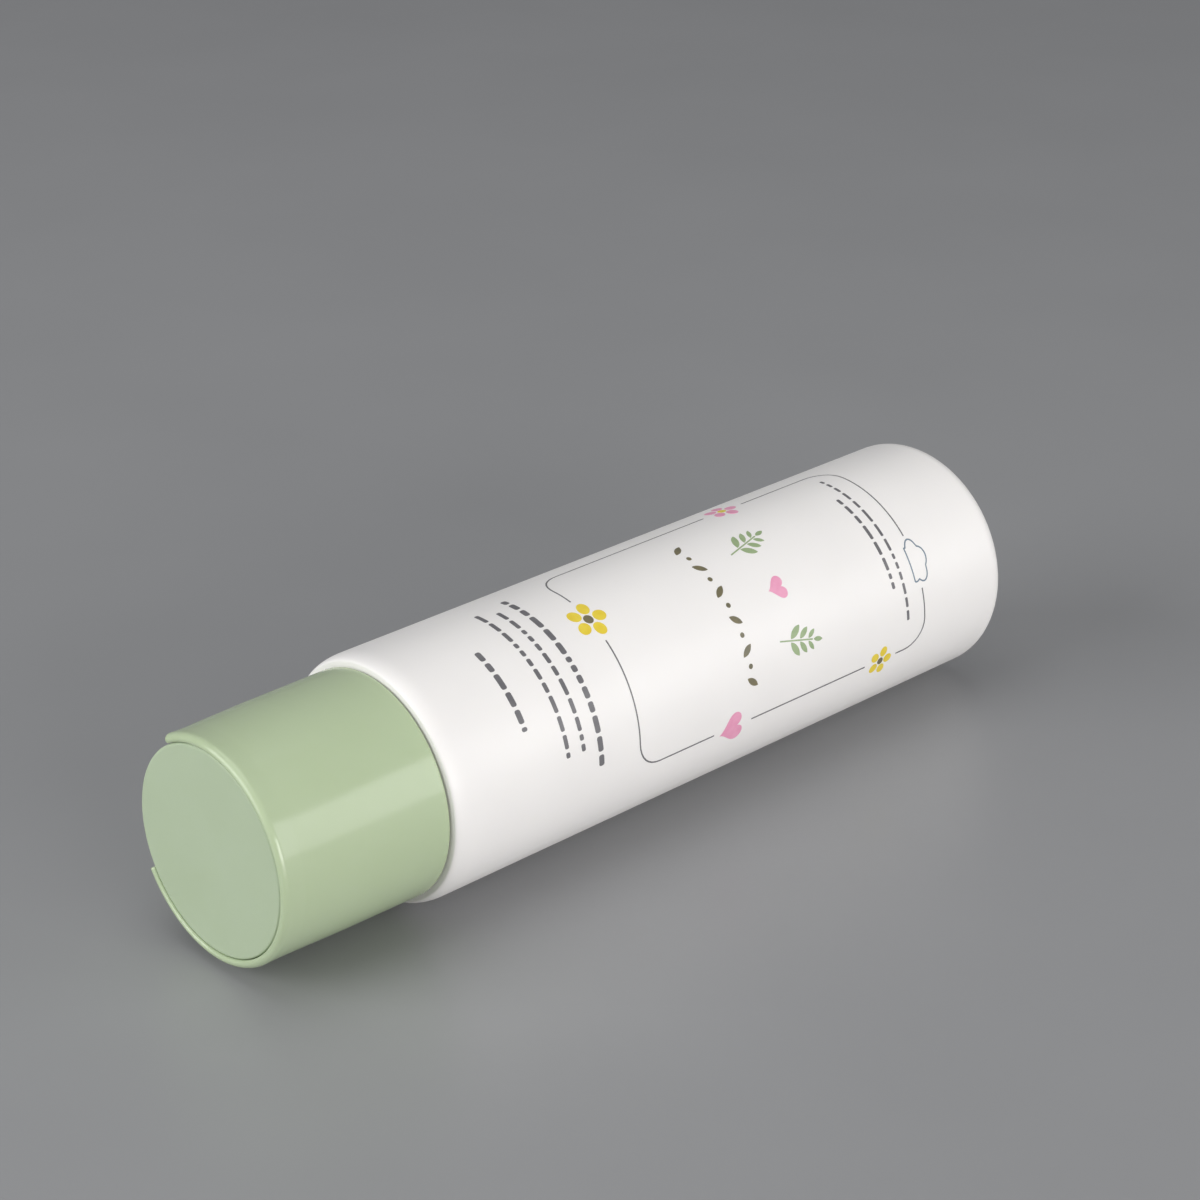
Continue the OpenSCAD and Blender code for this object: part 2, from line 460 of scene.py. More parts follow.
def bar(
    bm: bmesh.types.BMesh, radius: float, start: Place, end: Place, segments: int = 48
) -> None:
    """Adds a round bar between two points.

    Args:
        bm: The mesh that takes it.
        radius: Its radius.
        start: Middle of its first end.
        end: Middle of its last end.
        segments: Number of faces round it.
    """
    way = Vector(end) - Vector(start)
    place = Matrix.Translation((Vector(start) + Vector(end)) / 2)
    bmesh.ops.create_cone(
        bm,
        cap_ends=True,
        segments=segments,
        radius1=radius,
        radius2=radius,
        depth=way.length,
        matrix=place @ way.to_track_quat("Z", "Y").to_matrix().to_4x4(),
    )


def cut(body: bmesh.types.BMesh, tool: bmesh.types.BMesh) -> bmesh.types.BMesh:
    """Joins a body's overlapping shells into one skin and cuts a tool out of it.

    Args:
        body: The body. It is freed.
        tool: What is cut away. It is freed.

    Returns:
        The mesh that is left.
    """
    held = []
    for bm, name in ((body, "cut_body"), (tool, "cut_tool")):
        mesh = bpy.data.meshes.new(name)
        bm.to_mesh(mesh)
        bm.free()
        held.append(bpy.data.objects.new(name, mesh))
        bpy.context.scene.collection.objects.link(held[-1])
    change = held[0].modifiers.new("cut", "BOOLEAN")
    change.operation = "DIFFERENCE"
    change.solver = "EXACT"
    change.use_self = True
    change.object = held[1]
    shaped = held[0].evaluated_get(bpy.context.evaluated_depsgraph_get())
    left = bmesh.new()
    left.from_mesh(shaped.to_mesh())
    shaped.to_mesh_clear()
    for thing in held:
        mesh = thing.data
        bpy.data.objects.remove(thing)
        bpy.data.meshes.remove(mesh)
    return left


@dataclass(frozen=True)
class Lay:
    """Where the upright drawing lies: on its flat, with its middle over the origin.

    Attributes:
        length: Length over cap and body.
        axis_height: Height of the axis over the floor.
    """

    length: float = 146.7
    axis_height: float = 18.6748

    @property
    def matrix(self) -> Matrix:
        """From the drawing in millimetres to the laid tube in metres."""
        moved = Matrix.Translation((-self.length / 2, 0.0, self.axis_height))
        return Matrix.Scale(METRES_PER_MM, 4) @ moved @ Matrix.Rotation(math.pi / 2, 4, "Y")


LAY = Lay()


def make_piece(
    name: str,
    bm: bmesh.types.BMesh,
    finish: bpy.types.Material,
    body: str,
    sharp: float = 32.0,
) -> bpy.types.Object:
    """Lays a drawn mesh where the tube lies and makes it a piece.

    Args:
        name: The piece's name.
        bm: The drawn mesh. It is freed.
        finish: The material that it wears.
        body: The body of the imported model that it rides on.
        sharp: Angle in degrees from which an edge stays crisp.

    Returns:
        The piece.
    """
    bmesh.ops.dissolve_degenerate(bm, dist=SPECK_MM, edges=bm.edges)
    bmesh.ops.transform(bm, matrix=LAY.matrix, verts=bm.verts)
    mesh = bpy.data.meshes.new(name)
    bm.to_mesh(mesh)
    bm.free()
    mesh.shade_smooth()
    mesh.set_sharp_from_angle(angle=math.radians(sharp))
    mesh.materials.append(finish)
    piece = bpy.data.objects.new(name, mesh)
    bpy.context.scene.collection.objects.link(piece)
    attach(piece, body)
    LOG.info("%s: %d faces, riding on %s", name, len(mesh.polygons), body)
    return piece


# The pieces


@dataclass(frozen=True)
class Thread:
    """One thread, wound on a neck or inside a skirt.

    Attributes:
        foot_r: Radius of the wall that carries it.
        height: Its height above that wall.
        inwards: Whether its crest faces the axis.
        turns: Number of turns.
        start_z: Height where it starts.
        pitch: Advance in one turn.
        foot_w: Its width at the wall.
        crest_w: Its width at the crest.
        bite: How deep its foot stands in the wall.
        faces_a_turn: Number of faces in one turn.
    """

    foot_r: float
    height: float
    inwards: bool
    turns: float
    start_z: float
    pitch: float = 3.2
    foot_w: float = 1.9
    crest_w: float = 0.9
    bite: float = 0.3
    faces_a_turn: int = 72

    def wind(self) -> bmesh.types.BMesh:
        """Winds the thread.

        Returns:
            The closed thread.
        """
        side = -1.0 if self.inwards else 1.0
        foot = self.foot_r - side * self.bite
        crest = self.foot_r + side * self.height
        bm = bmesh.new()
        section = [
            (foot, -self.foot_w / 2),
            (crest, -self.crest_w / 2),
            (crest, self.crest_w / 2),
            (foot, self.foot_w / 2),
        ]
        corners = [bm.verts.new((r, 0.0, self.start_z + z)) for r, z in section]
        sides = [bm.edges.new(pair) for pair in pairwise(corners + corners[:1])]
        steps = round(self.turns * self.faces_a_turn)
        spin(bm, corners, sides, 0.0, FULL_TURN * self.turns, steps, self.pitch * self.turns)
        weld(bm)
        return bm


def join(into: bmesh.types.BMesh, other: bmesh.types.BMesh) -> None:
    """Adds another mesh's shells to a mesh, and frees the other.

    Args:
        into: The mesh that takes them.
        other: The mesh that gives them.
    """
    held = bpy.data.meshes.new("joined")
    other.to_mesh(held)
    other.free()
    into.from_mesh(held)
    bpy.data.meshes.remove(held)


@dataclass
class TubeBody:
    """The blown tube: a soft wall with a closed, rounded end, a shoulder and a threaded neck.

    Attributes:
        radius: Outside radius.
        length: Height of the closed end.
        wall: Thickness of the side.
        end_wall: Thickness of shoulder and end.
        shoulder_z: Height of the shoulder's land.
        shoulder_l: Length of the rounding beside the land.
        land_r: Radius of the land.
        end_round: Radius of the rounding at the end.
        dish_r: Radius of the dish in the end.
        dish_depth: Its depth.
        neck_r: Radius of the neck between its threads.
        neck_bore_r: Radius of its bore.
        neck_fillet: Radius of the hollow at the neck's foot.
        mouth_z: Height of the neck's mouth.
        mouth_chamfer: Chamfer of the mouth.
        thread: The thread on the neck.
    """

    radius: float = 19.0
    length: float = 146.7
    wall: float = 0.9
    end_wall: float = 1.4
    shoulder_z: float = 29.25
    shoulder_l: float = 3.0
    land_r: float = 18.15
    end_round: float = 3.0
    dish_r: float = 12.0
    dish_depth: float = 0.8
    neck_r: float = 10.9
    neck_bore_r: float = 8.9
    neck_fillet: float = 1.2
    mouth_z: float = 10.5161
    mouth_chamfer: float = 0.3
    thread: Thread = field(
        default_factory=lambda: Thread(
            foot_r=10.9, height=1.1, inwards=False, turns=1.5, start_z=11.9161
        )
    )

    # Outline of the dish: a share of its radius, a distance beside that, and a share of its depth
    DISH: ClassVar[tuple[Place, ...]] = (
        (1.0, 0.5, 0.0),
        (1.0, 0.2, 0.025),
        (1.0, -0.3, 0.125),
        (0.8, 0.3, 0.64),
        (0.8, -0.3, 0.74),
        (0.4, 0.0, 0.95),
        (0.0, 0.0, 1.0),
    )
    # Where the long wall has rings of corners, as shares of its length
    SIDE_RINGS: ClassVar[tuple[float, ...]] = (0.004, 0.02, 0.25, 0.5, 0.75, 0.98, 0.996)
    # Distance from a rounding to the ring that keeps the flat beside it smooth
    LAND_RING: ClassVar[float] = 0.6
    END_RING: ClassVar[float] = 0.3

    def outside(self) -> list[Point]:
        """Gives the outline of the outside, from the mouth to the middle of the closed end.

        Returns:
            The outline's points, as distances from the axis and heights.
        """
        hollow = self.neck_fillet
        bend = self.end_round
        wall_from = self.shoulder_z + self.shoulder_l
        wall_to = self.length - bend
        shoulder = (self.radius - self.land_r, self.shoulder_l)
        foot = (self.neck_r + hollow, self.shoulder_z - hollow)
        return [
            (self.neck_r - self.mouth_chamfer, self.mouth_z),
            (self.neck_r, self.mouth_z + self.mouth_chamfer),
            *arc(foot, (hollow, hollow), 180.0, 90.0),
            (self.land_r - self.LAND_RING, self.shoulder_z),
            *arc((self.land_r, wall_from), shoulder, -90.0, 0.0, 16),
            *between((self.radius, wall_from), (self.radius, wall_to), self.SIDE_RINGS),
            *arc((self.radius - bend, wall_to), (bend, bend), 0.0, 90.0, 16),
            (self.radius - bend - self.END_RING, self.length),
            *(
                (self.dish_r * share + beside, self.length - self.dish_depth * depth)
                for share, beside, depth in self.DISH
            ),
        ]

    def inside(self) -> list[Point]:
        """Gives the outline of the hollow, from the middle of the closed end to the mouth.

        Returns:
            The outline's points, as distances from the axis and heights.
        """
        in_r = self.radius - self.wall
        bend = self.end_round - self.wall
        top = self.shoulder_z + self.end_wall
        bottom = self.length - self.dish_depth - self.end_wall
        wall_from = bottom - bend
        wall_to = top + self.shoulder_l
        return [
            (0.0, bottom),
            *arc((in_r - bend, wall_from), (bend, bend), 90.0, 0.0),
            *between((in_r, wall_from), (in_r, wall_to), (0.02, 0.5, 0.98)),
            *arc((in_r - self.shoulder_l, wall_to), (self.shoulder_l,) * 2, 0.0, -90.0),
            (self.neck_bore_r, top),
            (self.neck_bore_r, self.mouth_z),
        ]

    def press_flat(self, bm: bmesh.types.BMesh) -> None:
        """Presses the soft wall flat where it lies, outside and inside.

        Args:
            bm: The drawn tube, of which the side at +x faces down.
        """
        mid_r = self.radius - self.wall / 2
        for low_r, high_r, level in (
            (mid_r, self.radius, LAY.axis_height),
            (mid_r - self.wall, mid_r, LAY.axis_height - self.wall),
        ):
            skin = [
                f
                for f in bm.faces
                if low_r < max(v.co.xy.length for v in f.verts) < high_r + MERGE_MM
            ]
            parts = {part for f in skin for part in (*f.verts, *f.edges, f)}
            bmesh.ops.bisect_plane(
                bm,
                geom=list(parts),
                dist=MERGE_MM,
                plane_co=(level, 0.0, 0.0),
                plane_no=(1.0, 0.0, 0.0),
            )
            for v in bm.verts:
                if v.co.x > level and low_r < v.co.xy.length < high_r + MERGE_MM:
                    v.co.x = level

    def build(self) -> bpy.types.Object:
        """Builds the tube as one piece.

        Returns:
            The piece.
        """
        bm = bmesh.new()
        turn(bm, [*reversed(self.outside()), *reversed(self.inside())], closed=False)
        weld(bm)
        self.press_flat(bm)
        join(bm, self.thread.wind())
        piece = make_piece("tube_wall", bm, BLOWN_POLYETHYLENE.material(), "tube")
        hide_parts("tube_body")
        return piece


@dataclass
class CapShell:
    """The moulded cap: side, rim with the press notch, deck, seat ring, threaded skirt and ribs.

    Attributes:
        face_r: Radius at the face.
        mid_r: Radius where the draft of the side changes.
        mid_z: Height of that change.
        skirt_r: Radius at the open edge.
        length: Height of the open edge.
        wall: Thickness of the side below the deck.
        rim_t: Thickness of the rim.
        edge_round: Rounding of the open edge.
        deck_top: Height of the deck's face under the disc.
        deck_under: Height of its other face.
        skirt_in_r: Inner radius of the threaded skirt.
        skirt_t: Thickness of that skirt.
        skirt_end: Height where it ends.
        seat_r: Radius of the round seat for the ball.
        seat_bore_r: Radius of the bore through the seat ring.
        seat_outer_r: Outer radius of the seat ring.
        seat_top: Height where the seat ring starts.
        pivot_z: Height of the pivot line and of the seat's centre.
        socket_r: Radius of the pins' sockets.
        socket_end: Distance from the axis to a socket's end.
        notch_turn: Direction of the notch in the drawing, in degrees.
        notch_span: Angle that it spans.
        notch_depth: Its depth at the well.
        scoop_depth: Its depth at the side, where a thumb's scoop runs out.
        notch_round: Rounding of its edges.
        rim_inside: Rounding of the rim towards the disc.
        rim_outside: Length of its rounding towards the side.
        rim_flare: How far its bead stands out from the side.
        deck_chamfer: Chamfer where the deck meets the side.
        skirt_chamfer: Chamfer inside the open edge.
        seat_chamfer: Chamfer of the seat ring's outer edge.
        seat_fillet: Fillet at the seat ring's foot.
        rib_count: Number of ribs.
        rib_t: Thickness of a rib.
        rib_l: Its length below the deck.
        rib_bite: How deep it stands in the skirt and the deck.
        rib_side_bite: How deep it stands in the side.
        thread: The thread in the skirt.
    """

    # Where the side has rings of corners over and under the change of draft, as shares
    UPPER_RINGS: ClassVar[tuple[float, ...]] = (0.04, 0.5, 0.98, 0.99)
    LOWER_RINGS: ClassVar[tuple[float, ...]] = (0.01, 0.02, 0.5, 0.97, 0.99)
    # Distance from the rim's rounding to the end of its bead
    BEAD_END: ClassVar[float] = 0.3
    # How far under the notch's floor the rim's outline still follows the side
    RIM_FEET: ClassVar[Point] = (0.6, 1.0)
    # Least angle between the faces beside an edge of the notch that is rounded, in degrees
    NOTCH_EDGE: ClassVar[float] = 40.0
    # How near to the notch's end a corner lies that is on it, in radians
    NEAR: ClassVar[float] = 1e-4

    face_r: float = 17.15
    mid_r: float = 17.45
    mid_z: float = 14.0
    skirt_r: float = 17.55
    length: float = 29.0
    wall: float = 1.2
    rim_t: float = 1.2
    edge_round: float = 0.3
    deck_top: float = 8.1161
    deck_under: float = 9.5161
    skirt_in_r: float = 12.25
    skirt_t: float = 1.25
    skirt_end: float = 27.25
    seat_r: float = 5.06
    seat_bore_r: float = 3.8821
    seat_outer_r: float = 5.96
    seat_top: float = 5.115
    pivot_z: float = 2.3
    socket_r: float = 1.06
    socket_end: float = 16.61
    notch_turn: float = NOTCH_TURN
    notch_span: float = 90.0
    notch_depth: float = 2.8
    scoop_depth: float = 5.6
    notch_round: float = 0.22
    rim_inside: float = 0.45
    rim_outside: float = 1.0
    rim_flare: float = 0.12
    deck_chamfer: float = 0.3
    skirt_chamfer: float = 0.1
    seat_chamfer: float = 0.15
    seat_fillet: float = 0.2
    rib_count: int = 8
    rib_t: float = 0.9
    rib_l: float = 8.0
    rib_bite: float = 0.3
    rib_side_bite: float = 0.2
    thread: Thread = field(
        default_factory=lambda: Thread(
            foot_r=12.25, height=1.1, inwards=True, turns=1.25, start_z=13.5161
        )
    )

    @property
    def well_r(self) -> float:
        """Radius of the well that holds the disc."""
        return self.face_r - self.rim_t

    def side_at(self, z: float) -> Point:
        """Gives the point of the upper side at a height.

        Args:
            z: The height.

        Returns:
            The point, as distance from the axis and height.
        """
        crest = self.rim_t / 2
        share = (z - crest) / (self.mid_z - crest)
        return self.face_r + (self.mid_r - self.face_r) * share, z

    def below_notch(self) -> list[Point]:
        """Gives the outline from the side at the notch's floor round to the well's wall there.

        Returns:
            The outline's points, as distances from the axis and heights.
        """
        bend = self.edge_round
        bore = math.degrees(math.acos(self.seat_bore_r / self.seat_r))
        mouth = math.degrees(math.asin((self.seat_top - self.pivot_z) / self.seat_r))
        in_r = self.face_r + (self.mid_r - self.face_r) * self.deck_under / self.mid_z - self.wall
        foot_in_r = self.skirt_r - self.wall
        skirt_out_r = self.skirt_in_r + self.skirt_t
        mid = (self.mid_r, self.mid_z)
        foot = (self.skirt_r, self.length - bend)
        lip = self.side_at(self.scoop_depth)
        return [
            lip,
            *between(lip, mid, self.UPPER_RINGS),
            mid,
            *between(mid, foot, self.LOWER_RINGS),
            *arc((self.skirt_r - bend, self.length - bend), (bend, bend), 0.0, 90.0, 6),
            (foot_in_r + self.skirt_chamfer, self.length),
            (foot_in_r, self.length - self.skirt_chamfer),
            (self.mid_r - self.wall, self.mid_z),
            (in_r, self.deck_under + self.deck_chamfer),
            (in_r - self.deck_chamfer, self.deck_under),
            (skirt_out_r, self.deck_under),
            (skirt_out_r, self.skirt_end),
            (self.skirt_in_r, self.skirt_end),
            (self.skirt_in_r, self.deck_under),
            (self.seat_bore_r, self.deck_under),
            *arc((0.0, self.pivot_z), (self.seat_r,) * 2, bore, mouth, 6),
            (self.seat_outer_r - self.seat_chamfer, self.seat_top),
            (self.seat_outer_r, self.seat_top + self.seat_chamfer),
            (self.seat_outer_r, self.deck_top - self.seat_fillet),
            (self.seat_outer_r + self.seat_fillet, self.deck_top),
            (self.well_r - self.deck_chamfer, self.deck_top),
            (self.well_r, self.deck_top - self.deck_chamfer),
            (self.well_r, self.notch_depth),
        ]

    def rim(self) -> list[Point]:
        """Gives the outline of the rim above the notch's floor, from the well to the side.

        Returns:
            The outline's points, as distances from the axis and heights.
        """
        crest_r = self.well_r + self.rim_inside
        bead = (self.face_r + self.rim_flare - crest_r, self.rim_outside)
        return [
            (self.well_r, (self.notch_depth + self.rim_inside) / 2),
            *arc((crest_r, self.rim_inside), (self.rim_inside,) * 2, 180.0, 270.0, 10),
            *arc((crest_r, self.rim_outside), bead, 270.0, 360.0, 12)[1:],
            (self.face_r + self.rim_flare, self.rim_outside + self.BEAD_END),
            *(self.side_at(self.notch_depth + below) for below in self.RIM_FEET),
        ]

    def floor_at(self, radius: float) -> float:
        """Gives the height of the notch's floor, which falls outwards as a thumb's scoop.

        Args:
            radius: Distance from the axis.

        Returns:
            The height.
        """
        lip_r = self.side_at(self.scoop_depth)[0]
        share = (radius - self.well_r) / (lip_r - self.well_r)
        return self.notch_depth + (self.scoop_depth - self.notch_depth) * share

    def ribs(self) -> bmesh.types.BMesh:
        """Builds the ribs between the threaded skirt and the side.

        Returns:
            The mesh.
        """
        bm = bmesh.new()
        start = self.skirt_in_r + self.skirt_t - self.rib_bite
        end = self.mid_r - self.wall + self.rib_side_bite
        height = self.deck_under + (self.rib_l - self.rib_bite) / 2
        place = Matrix.Translation(((start + end) / 2, 0.0, height))
        size = Matrix.Diagonal((end - start, self.rib_t, self.rib_l + self.rib_bite, 1.0))
        for i in range(self.rib_count):
            way = math.radians(self.notch_turn + FULL_TURN * i / self.rib_count)
            matrix = Matrix.Rotation(way, 4, "Z") @ place @ size
            bmesh.ops.create_cube(bm, size=1.0, matrix=matrix)
        return bm

    def sockets(self) -> bmesh.types.BMesh:
        """Builds the bar that cuts the two sockets for the disc's pins.

        Returns:
            The mesh.
        """
        bm = bmesh.new()
        facing = math.radians(self.notch_turn)
        reach = Vector((-math.sin(facing), math.cos(facing), 0.0)) * self.socket_end
        middle = Vector((0.0, 0.0, self.pivot_z))
        bar(bm, self.socket_r, middle - reach, middle + reach)
        return bm

    def drop_inner_seam(self, bm: bmesh.types.BMesh) -> None:
        """Takes out any face that lies inside the wall where the two turned stretches meet.

        Args:
            bm: The drawn cap.
        """
        inner = [f for f in bm.faces if all(len(e.link_faces) > 2 for e in f.edges)]
        if inner:
            bmesh.ops.delete(bm, geom=inner, context="FACES_ONLY")

    def soften_notch(self, bm: bmesh.types.BMesh) -> None:
        """Rounds the notch's edges over, as a mould's are.

        Args:
            bm: The drawn cap.
        """
        half = math.radians(self.notch_span / 2)
        facing = math.radians(self.notch_turn)

        def in_notch(v: bmesh.types.BMVert) -> bool:
            """Tells whether a corner is on the notch's floor or on one of its two ends.

            Args:
                v: The corner.

            Returns:
                Whether it is.
            """
            off = (math.atan2(v.co.y, v.co.x) - facing + math.pi) % math.tau - math.pi
            over = v.co.z - self.floor_at(v.co.xy.length)
            at_end = abs(abs(off) - half) < self.NEAR and over < MERGE_MM
            on_floor = abs(off) < half and abs(over) < MERGE_MM
            return v.co.xy.length > self.well_r - MERGE_MM and (at_end or on_floor)

        edges = [
            e
            for e in bm.edges
            if in_notch(e.verts[0])
            and in_notch(e.verts[1])
            and e.is_manifold
            and e.calc_face_angle() > math.radians(self.NOTCH_EDGE)
        ]
        bmesh.ops.bevel(
            bm,
            geom=edges,
            offset=self.notch_round,
            affect="EDGES",
            segments=3,
            profile=0.5,
            material=-1,
            clamp_overlap=True,
        )

    def build(self) -> bpy.types.Object:
        """Builds the cap as one piece.

        Returns:
            The piece.
        """
        bm = bmesh.new()
        below = self.below_notch()
        notch_start = self.notch_turn - self.notch_span / 2
        notch_end = self.notch_turn + self.notch_span / 2
        turn(bm, below, True, notch_start, self.notch_span)
        turn(bm, [*below, *self.rim()], True, notch_end, FULL_TURN - self.notch_span)
        bmesh.ops.remove_doubles(bm, verts=bm.verts, dist=MERGE_MM)
        self.drop_inner_seam(bm)
        weld(bm)
        self.soften_notch(bm)
        join(bm, self.ribs())
        join(bm, self.thread.wind())
        bm = cut(bm, self.sockets())
        piece = make_piece("cap_moulding", bm, MOULDED_POLYPROPYLENE.material(), "cap")
        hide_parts("cap_shell")
        return piece


@dataclass
class PressDisc:
    """The disc in the rim: plate, front apron, duct, ball and the two pins that it tips on.

    Attributes:
        radius: Its radius.
        top: Height of its face.
        under: Height of its underside.
        edge_round: Rounding of its upper edge.
        apron_r: Outer radius of the apron, which is less so that it swings clear of the well.
        apron_end: Height where the apron ends.
        apron_t: Thickness of the apron.
        apron_span: Angle that it spans.
        facing: Direction of the notch in the drawing, in degrees. The outlet is opposite.
        outlet_r: Radius of the outlet's bore.
        outlet_z: Height of that bore.
        duct_r: Outer radius of the duct.
        ball_r: Radius of the ball.
        ball_bore_r: Radius of the bore up through it.
        pivot_z: Height of the pins.
        pin_r: Radius of a pin.
        pin_end: Distance from the axis to a pin's end.
        pin_bite: How deep a pin stands in its lug.
        lug_r: Radius of a lug.
        lug_start: Distance from the axis to a lug's inner end.
        lug_end: Distance to its outer end.
        bite: How deep the ball stands in the plate.
    """

    # How far a cutting bar reaches past what it cuts
    OVER: ClassVar[float] = 1.0
    # Distance from a rounding to the ring that keeps the flat beside it smooth
    FACE_RING: ClassVar[float] = 0.2

    radius: float = 15.85
    top: float = 0.25
    under: float = 1.65
    edge_round: float = 0.35
    apron_r: float = 15.5439
    apron_end: float = 5.55
    apron_t: float = 1.0
    apron_span: float = 120.0
    facing: float = NOTCH_TURN
    outlet_r: float = 1.2
    outlet_z: float = 2.915
    duct_r: float = 1.9
    ball_r: float = 5.0
    ball_bore_r: float = 2.2
    pivot_z: float = 2.3
    pin_r: float = 1.0
    pin_end: float = 16.55
    pin_bite: float = 1.0
    lug_r: float = 1.6
    lug_start: float = 13.0
    lug_end: float = 14.8
    bite: float = 0.3

    def plate(self) -> bmesh.types.BMesh:
        """Turns the plate, with the apron along its front edge.

        Returns:
            The closed plate.
        """
        bend = self.edge_round
        apron_in_r = self.apron_r - self.apron_t
        upper = [
            (0.0, self.top),
            (self.radius / 2, self.top),
            (self.radius - bend - self.FACE_RING, self.top),
            *arc((self.radius - bend, self.top + bend), (bend, bend), -90.0, 0.0, 6),
            (self.radius, self.under),
            (self.apron_r, self.under),
        ]
        apron = [(self.apron_r, self.apron_end), (apron_in_r, self.apron_end)]
        lower = [(apron_in_r, self.under), (0.0, self.under)]
        front = self.facing + FULL_TURN / 2
        half = self.apron_span / 2
        bm = bmesh.new()
        turn(bm, [*upper, *apron, *lower], False, front - half, self.apron_span)
        turn(bm, [*upper, *lower], False, front + half, FULL_TURN - self.apron_span)
        weld(bm)
        return bm

    def ball(self) -> bmesh.types.BMesh:
        """Builds the ball, cut off inside the plate.

        Returns:
            The mesh.
        """
        bm = bmesh.new()
        middle = Matrix.Translation((0.0, 0.0, self.pivot_z))
        bmesh.ops.create_uvsphere(
            bm, u_segments=64, v_segments=32, radius=self.ball_r, matrix=middle
        )
        bmesh.ops.bisect_plane(
            bm,
            geom=[*bm.verts, *bm.edges, *bm.faces],
            plane_co=(0.0, 0.0, self.under - self.bite),
            plane_no=AXIS,
            clear_inner=True,
        )
        weld(bm)
        return bm

    def works(self) -> bmesh.types.BMesh:
        """Builds what hangs under the plate: duct, lugs, pins and ball.

        Returns:
            The mesh.
        """
        bm = bmesh.new()
        front = (self.apron_t / 2 - self.apron_r, 0.0, self.outlet_z)
        bar(bm, self.duct_r, (0.0, 0.0, self.outlet_z), front)
        for radius, start, end in (
            (self.lug_r, self.lug_start, self.lug_end),
            (self.pin_r, self.lug_end - self.pin_bite, self.pin_end),
        ):
            for side in (-1.0, 1.0):
                inner = (0.0, side * start, self.pivot_z)
                bar(bm, radius, inner, (0.0, side * end, self.pivot_z))
        join(bm, self.ball())
        return self.face_notch(bm)

    def bores(self) -> bmesh.types.BMesh:
        """Builds the two bars that cut the outlet and the bore up through the ball.

        Returns:
            The mesh.
        """
        bm = bmesh.new()
        middle = (0.0, 0.0, self.outlet_z)
        bar(bm, self.outlet_r, middle, (-self.radius - self.OVER, 0.0, self.outlet_z))
        bar(bm, self.ball_bore_r, middle, (0.0, 0.0, self.outlet_z + 2 * self.ball_r))
        return self.face_notch(bm)

    def face_notch(self, bm: bmesh.types.BMesh) -> bmesh.types.BMesh:
        """Turns a mesh that was drawn with the notch at +x to where the notch is.

        Args:
            bm: The mesh.

        Returns:
            The same mesh, turned.
        """
        turned = Matrix.Rotation(math.radians(self.facing), 4, "Z")
        bmesh.ops.transform(bm, matrix=turned, verts=bm.verts)
        bmesh.ops.recalc_face_normals(bm, faces=bm.faces)
        return bm

    def build(self) -> bpy.types.Object:
        """Builds the disc as one piece.

        Returns:
            The piece.
        """
        bm = self.plate()
        join(bm, self.works())
        bm = cut(bm, self.bores())
        piece = make_piece("disc_moulding", bm, SPARKED_POLYPROPYLENE.material(), "disc")
        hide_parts("press_disc")
        return piece


@dataclass
class SealingRing:
    """The foam ring between the neck's mouth and the cap's deck.

    Attributes:
        node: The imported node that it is, which stays as it is.
    """

    node: str = "sealing_ring"

    def dress(self) -> bpy.types.Object:
        """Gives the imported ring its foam.

        Returns:
            The ring.
        """
        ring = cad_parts[self.node]
        ring.data.materials.clear()
        ring.data.materials.append(SKIVED_FOAM.material())
        LOG.info("%s: packed node in %s", self.node, SKIVED_FOAM.name)
        return ring


# The print


@dataclass
class Sheet:
    """One ink's flat artwork, in millimetres across and along, before it is wrapped on the tube.

    Attributes:
        ink: The ink.
        radius: Radius of the tube's side.
        middle: Direction of the artwork's middle line round the tube, in degrees.
        film: Half the thickness of the film over and under the side.
        strip: Width of the strips that let the film bend.
        bm: The flat artwork.
    """

    ink: Ink
    radius: float = 19.0
    middle: float = 134.5
    film: float = 0.02
    strip: float = 1.0
    bm: bmesh.types.BMesh = field(default_factory=bmesh.new)

    def take(self, shape: bmesh.types.BMesh, at: Point, turn_deg: float = 0.0) -> None:
        """Puts a flat shape on the sheet.

        Args:
            shape: The shape, drawn round the origin. It is freed.
            at: Where its middle goes.
            turn_deg: How far it is turned.
        """
        place = Matrix.Translation((*at, 0.0)) @ Matrix.Rotation(math.radians(turn_deg), 4, "Z")
        bmesh.ops.transform(shape, matrix=place, verts=shape.verts)
        join(self.bm, shape)

    def wrap(self) -> bpy.types.Object:
        """Gives the flat artwork its thickness and wraps it on the tube.

        Returns:
            The piece.
        """
        bm = self.bm
        low = min(v.co.x for v in bm.verts)
        high = max(v.co.x for v in bm.verts)
        for i in range(1, math.ceil((high - low) / self.strip)):
            bmesh.ops.bisect_plane(
                bm,
                geom=[*bm.verts, *bm.edges, *bm.faces],
                plane_co=(low + i * self.strip, 0.0, 0.0),
                plane_no=(1.0, 0.0, 0.0),
            )
        many_sided = [f for f in bm.faces if len(f.verts) > 4]
        bmesh.ops.triangulate(bm, faces=many_sided)
        bm.normal_update()
        turned_down = [f for f in bm.faces if f.normal.z < 0]
        bmesh.ops.reverse_faces(bm, faces=turned_down)
        bmesh.ops.translate(bm, verts=bm.verts, vec=(0.0, 0.0, self.film))
        bmesh.ops.solidify(bm, geom=bm.faces[:], thickness=2 * self.film)
        for v in bm.verts:
            way = math.radians(self.middle + 90.0) + v.co.x / self.radius
            reach = self.radius + max(-self.film, min(self.film, v.co.z))
            v.co = (reach * math.cos(way), reach * math.sin(way), v.co.y)
        name = f"print_{self.ink.name.lower()}"
        return make_piece(name, bm, self.ink.finish.material(), "tube")


